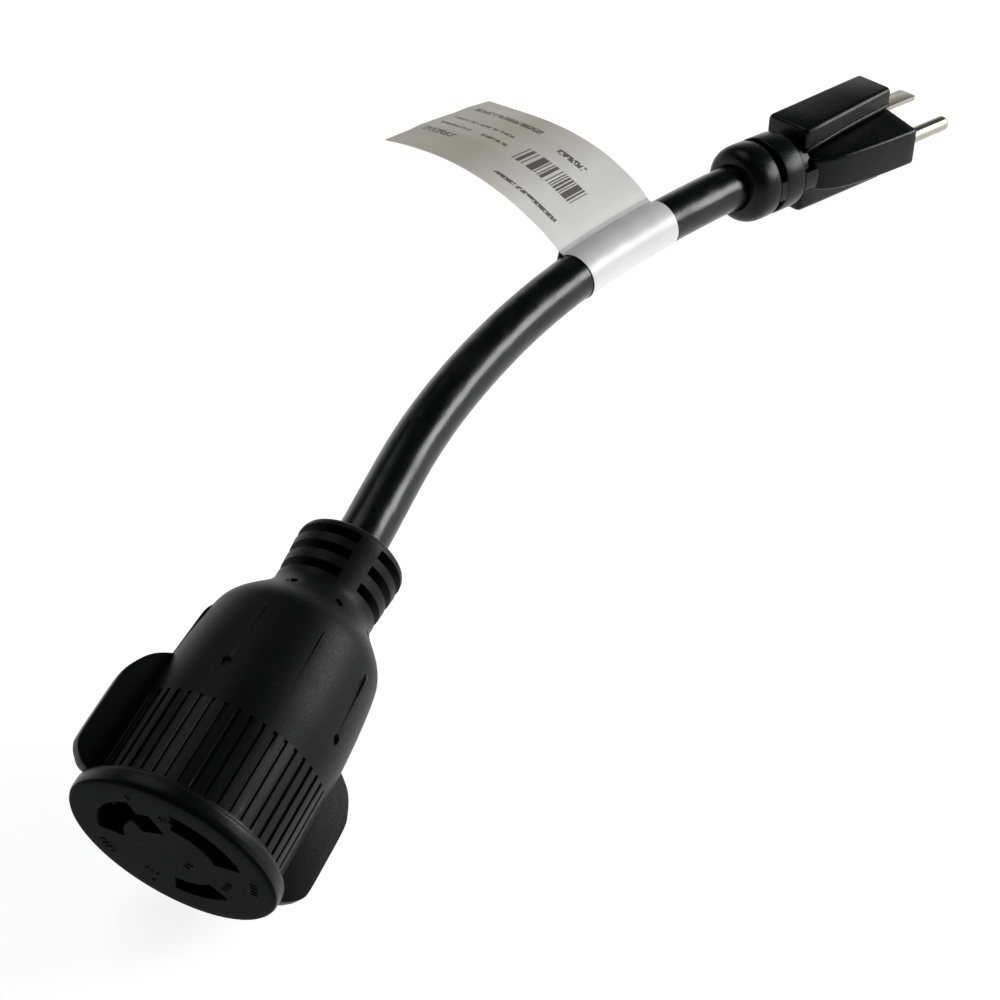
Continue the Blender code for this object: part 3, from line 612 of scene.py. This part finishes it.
def make_label(white, printed):
    """The vinyl label: a close band that comes to a crease, and the flag that goes on from the crease."""
    frames = label_frames(19)
    bm = bmesh.new()

    def drop(radius, reach):
        """A round section that runs straight out to the crease below and turns sharply into it above."""
        below, above = acos(radius / reach), radians(5)
        found = [(CREASE, reach)]
        turns = 60
        for i in range(turns + 1):
            found.append((CREASE + below + (2 * pi - below - above) * i / turns, radius))
        return found

    outer_section = drop(BAND_INSIDE + FILM, CREASE_OUTSIDE)
    inner_section = drop(BAND_INSIDE, CREASE_INSIDE)
    outer, within = [], []
    for k, (point, side, up) in enumerate(frames):
        wrinkle = 0.05 * sin(k * 1.3) * MM
        for section, rings in ((outer_section, outer), (inner_section, within)):
            rings.append([
                point + side * (r * MM * cos(a))
                + up * (r * MM * sin(a) + (wrinkle if sin(a) > 0.2 else 0))
                for a, r in section
            ])
    skin(bm, outer + within[::-1])
    band = finish_mesh("label_band", bm, Matrix(), [white], 50)
    carried(band, "label_vinyl", "cable_label")

    near, far = smooth(FLAG_NEAR, 6), smooth(FLAG_FAR, 6)
    across = 16
    grid = []
    for a, b in zip(near, far):
        row = []
        for j in range(across + 1):
            t = j / across
            point, side, up = frames[round(t * (len(frames) - 1))]
            out, high = (1 - t) * a + t * b
            row.append(point - side * (out * MM) + up * (high * MM))
        grid.append(row)
    bm = bmesh.new()
    layer = bm.loops.layers.uv.new("print")
    thick = Vector((0, 0, FLAG_HALF * MM))
    tops = [[bm.verts.new(spot + thick) for spot in row] for row in grid]
    bottoms = [[bm.verts.new(spot - thick) for spot in row] for row in grid]
    rows = len(grid)

    def quad(corners, places):
        face = bm.faces.new(corners)
        for loop, (i, j) in zip(face.loops, places):
            loop[layer].uv = (i / (rows - 1), 1 - j / across)

    for i in range(rows - 1):
        for j in range(across):
            places = ((i, j), (i + 1, j), (i + 1, j + 1), (i, j + 1))
            quad([tops[a][b] for a, b in places], places)
            quad([bottoms[a][b] for a, b in reversed(places)], [(0, 0)] * 4)
    edge = [(i, 0) for i in range(rows)] + [(rows - 1, j) for j in range(1, across + 1)]
    edge += [(i, across) for i in range(rows - 2, -1, -1)] + [(0, j) for j in range(across - 1, 0, -1)]
    for (a, b), (c, d) in zip(edge, edge[1:] + edge[:1]):
        quad([tops[a][b], bottoms[a][b], bottoms[c][d], tops[c][d]], [(0, 0)] * 4)
    flag = finish_mesh("label_flag", bm, Matrix(), [printed], 40)
    carried(flag, "label_vinyl")
    flag.parent = band
    return band


def vinyl_sheet(name, white, painted_shade_end=None):
    """White label film. With an end colour it also carries the greeked print, laid out on its own UV map,
    and turns towards that brownish colour along the flag: painted shade on the flag's outer end.
    """
    look = Look(name, white, 0.36, Coat_Weight=0.12, Coat_Roughness=0.2)
    wave = look.noise(55.0, 2.0)
    fibre = look.noise(900.0, 3.0)
    look.set("Roughness", look.math("ADD", look.spread(fibre, -0.04, 0.05), 0.36, clamp=True))
    look.bump(look.math("ADD", wave, look.math("MULTIPLY", fibre, 0.003)), 0.0006, 0.8)
    paper = look.blend(look.spread(wave, 0.0, 0.5), white, tuple(c * 0.94 for c in white))
    if painted_shade_end is None:
        look.set("Base Color", paper)
        return look.made
    uv = look.node("ShaderNodeUVMap", uv_map="print").outputs["UV"]
    split = look.node("ShaderNodeSeparateXYZ")
    look.link(uv, split.inputs[0])
    u, v = split.outputs["X"], split.outputs["Y"]

    def inside(value, low, high):
        above = look.math("GREATER_THAN", value, low)
        return look.math("MULTIPLY", above, look.math("LESS_THAN", value, high))

    def cells(across, along, seed, share):
        """1 on a random share of the cells of a grid, which is across cells per flag length."""
        grid = look.node("ShaderNodeCombineXYZ")
        look.link(look.math("FLOOR", look.math("MULTIPLY", u, across)), grid.inputs[0])
        look.link(look.math("FLOOR", look.math("MULTIPLY", v, along)), grid.inputs[1])
        grid.inputs[2].default_value = seed
        noise = look.node("ShaderNodeTexWhiteNoise", noise_dimensions="3D")
        look.link(grid.outputs[0], noise.inputs["Vector"])
        return look.math("LESS_THAN", noise.outputs["Value"], share)

    ink = None

    def add(mask):
        nonlocal ink
        ink = mask if ink is None else look.math("MAXIMUM", ink, mask)

    # start, end, low and high edge of each line, cells along it and across it, and how full it is
    lines = (
        (0.62, 0.95, 0.195, 0.255, 120, 66, 0.84), (0.62, 0.96, 0.375, 0.415, 150, 75, 0.70),
        (0.63, 0.96, 0.525, 0.565, 150, 75, 0.70), (0.80, 0.96, 0.675, 0.715, 150, 75, 0.70),
        (0.38, 0.51, 0.27, 0.30, 150, 75, 0.74), (0.24, 0.56, 0.81, 0.85, 140, 75, 0.72),
    )
    for seed, (start, end, low, high, across, along, share) in enumerate(lines):
        words = cells(across / 7, 1, seed + 20.0, 0.9)
        letters = look.math("MULTIPLY", words, cells(across, along, float(seed), share))
        area = look.math("MULTIPLY", inside(u, start, end), inside(v, low, high))
        add(look.math("MULTIPLY", letters, area))
    bars = cells(200, 1, 4.0, 0.5)
    add(look.math("MULTIPLY", bars, look.math("MULTIPLY", inside(u, 0.28, 0.58), inside(v, 0.43, 0.65))))
    # Painted shade: the film turns to the brownish end colour towards the flag's outer end, standing in for
    # the shade that falls there.
    paper_and_painted_shade = look.blend(look.spread(u, 0.0, 1.0, 0.38, 0.68), paper, painted_shade_end)
    look.set("Base Color", look.blend(look.math("MULTIPLY", ink, 0.88), paper_and_painted_shade, (0.06, 0.055, 0.05)))
    return look.made


# ---- Plug -------------------------------------------------------------------------------------
def rounded(low, high, half, corner, steps=5):
    """A rectangle in Y and Z with round corners, in millimetres."""
    points = []
    for cy, cz, start in (
        (high - corner, half - corner, 0), (low + corner, half - corner, 90),
        (low + corner, corner - half, 180), (high - corner, corner - half, 270),
    ):
        for i in range(steps + 1):
            turn = radians(start + 90 * i / steps)
            points.append((cy + corner * cos(turn), cz + corner * sin(turn)))
    return points


def loft(bm, sections):
    skin(bm, [[Vector((a, y, z)) * MM for y, z in shape] for a, shape in sections], closed=False)


BEAD_R, BLOCK_CORNER = 0.75, 1.3
COLLAR_SLOT, COLLAR_SLOT_AT = 8.8, -53  # radius of the slots' floor, and the middle of the rear row
PIN_SIDE, BLADE_SIDE = 11.9, 6.35  # how far the round prong and each flat one stand from the plug's axis


def plug_body(bm):
    """The flat body. Each side has a thin bead along it, at the step down to the ground block.

    A row has its place along X, its low and high side in Y, half its height, the radius of its corners
    and half the ground block's height there.
    """
    sections = []
    for along, low, high, half, corner, root in (
        (-39.45, -6.6, 7.4, 12.5, 1.2, 5.6), (-39.25, -7.1, 7.9, 13.0, 1.6, 5.6),
        (-38.85, -7.4, 8.2, 13.3, 1.8, 5.6), (-38.2, -7.55, 8.35, 13.45, 1.8, 5.7),
        (-31, -7.25, 8.25, 13.8, 1.8, 6.5), (-24, -6.9, 8.2, 14.1, 1.8, 7.2),
        (-14, -6.35, 8.05, 14.6, 1.8, 7.8),
        (-0.8, -5.7, 7.85, 15.15, 1.7, 8.4), (-0.4, -5.6, 7.75, 15.05, 1.6, 8.4),
        (-0.1, -5.35, 7.5, 14.8, 1.4, 8.4), (0, -5.1, 7.3, 14.6, 1.2, 8.4),
    ):
        shape = rounded(low, high, half, corner)
        bead = [radians(t) for t in (110, 130, 150, 170, 195, 220, 245, 270)]
        edge = [(low + 0.25 + BEAD_R * cos(t), root + 1.15 + BEAD_R * sin(t)) for t in bead]
        edge.append((low + 1.4, root + 0.3))
        middle = len(shape) // 2
        notch = edge + [(y, -z) for y, z in reversed(edge)]
        sections.append((along, shape[:middle] + notch + shape[middle:]))
    loft(bm, sections)


def ground_block(bm):
    """The block round the ground pin. Its front lies a hair behind the body's.

    A row has its place along X, its reach in -Y, and half its height at its outer side and at its root.
    """
    sizes = smooth([
        (-38.5, 10.6, 4.7, 5.6), (-36, 12.7, 5.2, 6.0), (-31, 14.7, 5.55, 6.5), (-24, 15.85, 5.75, 7.2),
        (-14, 16.75, 5.85, 7.8), (-0.8, 17.36, 5.85, 8.4),
    ], 5)
    sections = []
    for along, side, top, root in [*sizes, (-0.25, 17.26, 5.75, 8.3), (-0.04, 16.96, 5.45, 8.0)]:
        shape = [(-4, root)]
        for way in (1, -1):
            corner = [radians(t) for t in (90, 108, 126, 144, 162, 180)]
            spots = [
                (-side + BLOCK_CORNER * (1 + cos(t)), way * (top - BLOCK_CORNER * (1 - sin(t))))
                for t in corner
            ]
            shape += spots if way == 1 else spots[::-1]
        shape.append((-4, -root))
        sections.append((along, shape))
    loft(bm, sections)


def plug_collar(bm):
    """The round strain relief, with two rows of flex slots that leave a rib on each side."""
    outline = [
        (-38.6, 11.5), (-39.4, 11.6), (-43.84, 11.6), (-43.9, 11.3), (-44.1, 11.52), (-44.5, 11.6),
        (-51.2, 11.6), (-51.55, 11.52), (-51.76, 11.3), (-51.82, 11.6), (-54.18, 11.6), (-54.24, 11.3),
        (-54.45, 11.52), (-54.8, 11.6), (-57, 11.62), (-58.8, 11.58), (-60.1, 11.35), (-61.2, 10.9),
        (-62, 10.25), (-62.6, 9.4), (-62.95, 8.5), (-63.1, 7.5),
    ]
    edges = [way + edge for way in (0, 180) for edge in (73.5, 106.5)]
    angles = sorted([2 * i for i in range(180)] + edges)
    rings = []
    for along, radius in outline:
        slotted = along > -43.87 or abs(along - COLLAR_SLOT_AT) < 1.2
        ring = []
        for turn in angles:
            inside = abs(sin(radians(turn))) < sin(radians(74))
            ring.append(polar(along, COLLAR_SLOT if slotted and inside else radius, radians(turn)))
        rings.append(ring)
    for along, bore in ((-63.1, 7.05), (-62.8, 6.7), (-38.6, 6.7)):
        rings.append([polar(along, bore, radians(turn)) for turn in angles])
    offset = Vector((0, -COLLAR_SIDE, 0))
    skin(bm, [[point * MM + offset for point in ring] for ring in rings])


def make_plug_shell(moulded_black):
    """The moulded plug in three overlapping pieces, with the two in front hollowed out for the prongs."""
    def pocket(bm):
        def shape(side, high, neck):
            half = [(4.6, high), (-4.2, high), (-5.6, neck), (-side, 0.62 * neck)]
            return half + [(y, -z) for y, z in reversed(half)]

        loft(bm, [
            (1, shape(14.9, 9.6, 6.2)), (-20, shape(14.9, 9.6, 6.2)), (-27, shape(13.4, 9.0, 5.8)),
            (-33, shape(11.0, 7.8, 5.4)), (-38, shape(8.6, 6.4, 4.9)),
        ])

    for name, build, nodes in (
        ("plug_body", plug_body, ["plug_shell"]), ("plug_pin_block", ground_block, []),
    ):
        bm = bmesh.new()
        build(bm)
        piece = finish_mesh(name, bm, PLUG, [moulded_black])
        cut(piece, [(pocket, PLUG)])
        carried(piece, "moulded_pvc", *nodes)
    bm = bmesh.new()
    plug_collar(bm)
    carried(finish_mesh("plug_collar", bm, PLUG, [moulded_black], 38), "moulded_pvc")


TAIL_FROM, TAIL_TO = -11.0, -19.0
BARREL_R, BARREL_BORE = 2.5, 1.8
PIN_R, PIN_TIP, PIN_DOME = 2.36, 21.1, 2.2  # the round prong's radius, its end, and how far its dome runs


def barrel(bm, y, z):
    """The crimp barrel on a prong's tail, open at its end."""
    outline = [
        (TAIL_TO, BARREL_BORE + 0.15), (TAIL_TO + 0.12, BARREL_R - 0.05), (TAIL_TO + 0.3, BARREL_R),
        (TAIL_FROM - 0.3, BARREL_R), (TAIL_FROM, BARREL_R - 0.3), (TAIL_FROM, 0.4),
        (TAIL_FROM - 1.5, 0.4), (TAIL_FROM - 1.5, BARREL_BORE), (TAIL_TO + 0.1, BARREL_BORE),
    ]
    steps = [2 * pi * i / 40 for i in range(40)]
    offset = Vector((0, y, z)) * MM
    skin(bm, [[polar(a, r, step) * MM + offset for step in steps] for a, r in outline])


def make_prongs(plated):
    """Two flat prongs with eased tips and a round one with a domed tip, each with its crimp barrel."""
    for name, z in (("line", BLADE_SIDE), ("neutral", -BLADE_SIDE)):
        bm = bmesh.new()
        sections = []
        for a, w, t in (
            (16.95, 2.1, 0.3), (16.8, 2.35, 0.42), (16.2, 2.75, 0.6), (15.5, 3.1, 0.74),
            (TAIL_FROM, 3.175, 0.75),
        ):
            sections.append((a, [(y, z + dz) for y, dz in rounded(-w, w, t, min(0.25, t * 0.8), 2)]))
        loft(bm, sections)
        barrel(bm, 0, z)
        carried(finish_mesh(f"{name}_prong", bm, PLUG, [plated]), "plated_brass", f"{name}_blade")
    bm = bmesh.new()
    dome = [radians(9 * i) for i in range(9)]
    tip = [(PIN_TIP - PIN_DOME * (1 - sin(t)), PIN_R * cos(t)) for t in dome]
    outline = [(TAIL_FROM, PIN_R), *tip, (PIN_TIP, 0.15)]
    steps = [2 * pi * i / 48 for i in range(48)]
    offset = Vector((0, -PIN_SIDE, 0)) * MM
    skin(bm, [[polar(a, r, step) * MM + offset for step in steps] for a, r in outline], closed=False)
    barrel(bm, -PIN_SIDE, 0)
    carried(finish_mesh("round_prong", bm, PLUG, [plated]), "plated_brass", "ground_pin")


# ---- Put together -----------------------------------------------------------------------------
add_camera()
add_surroundings()

textured = moulded(
    "textured_pvc", (0.003, 0.0032, 0.0032), 0.42, 3600.0, 0.00004, Specular_IOR_Level=0.12)
ribbed = moulded(
    "ribbed_pvc", (0.0025, 0.0027, 0.0027), 0.36, 3600.0, 0.00003, 0.25, Specular_IOR_Level=0.16)
smooth_face = moulded(
    "smooth_face", (0.0028, 0.0031, 0.0031), 0.46, 3800.0, 0.00003, 0.3, Specular_IOR_Level=0.01)
plug_black = moulded(
    "plug_pvc", (0.003, 0.0032, 0.0033), 0.28, 3200.0, 0.00002, 0.25, Specular_IOR_Level=0.15)
plated = drawn_metal("plated_prongs", (0.40, 0.385, 0.325), 0.26, (0.15, 1, 1))
# The band and the flag are one white vinyl. The band's white is painted darker, as painted shade, and the
# flag's paler, as painted light, for how the side light falls on each.
band = make_label(
    vinyl_sheet("band_film_painted_shade", (0.71, 0.71, 0.705)),
    vinyl_sheet("printed_film_painted_light_and_shade", (0.87, 0.87, 0.86), (0.54, 0.51, 0.425)),
)
make_cable(cable_vinyl())
make_shell(textured, smooth_face, ribbed)
make_wings(textured)
make_insert(smooth_face)
make_face_marks(smooth_face)
make_plug_shell(plug_black)
make_prongs(plated)

nylon = moulded("natural_nylon", (0.72, 0.70, 0.62), 0.42, 1800.0, 0.00004, 0.2)
brass = drawn_metal("contact_brass", (0.80, 0.60, 0.30), 0.28, (0.2, 1, 1))
copper = drawn_metal("stranded_copper", (0.86, 0.46, 0.30), 0.3, (0.1, 1, 1))
green = moulded("green_cover", (0.045, 0.30, 0.10), 0.4, 2200.0, 0.00003, 0.15)
white = moulded("white_cover", (0.80, 0.80, 0.77), 0.4, 2200.0, 0.00003, 0.15)
black = moulded("black_cover", (0.015, 0.015, 0.016), 0.4, 2200.0, 0.00003, 0.2)
finishes = {
    "contact_retainer": nylon, "prong_bridge": nylon,
    "ground_contact": brass, "neutral_contact": brass, "line_contact": brass,
}
for end in ("socket", "plug"):
    for wire, cover in (("ground", green), ("neutral", white), ("line", black)):
        finishes[f"{end}_{wire}_core"] = copper
        finishes[f"{end}_{wire}_insulation"] = cover
for node, made in finishes.items():
    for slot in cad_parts[node].material_slots:
        slot.material = made

bpy.context.view_layer.update()
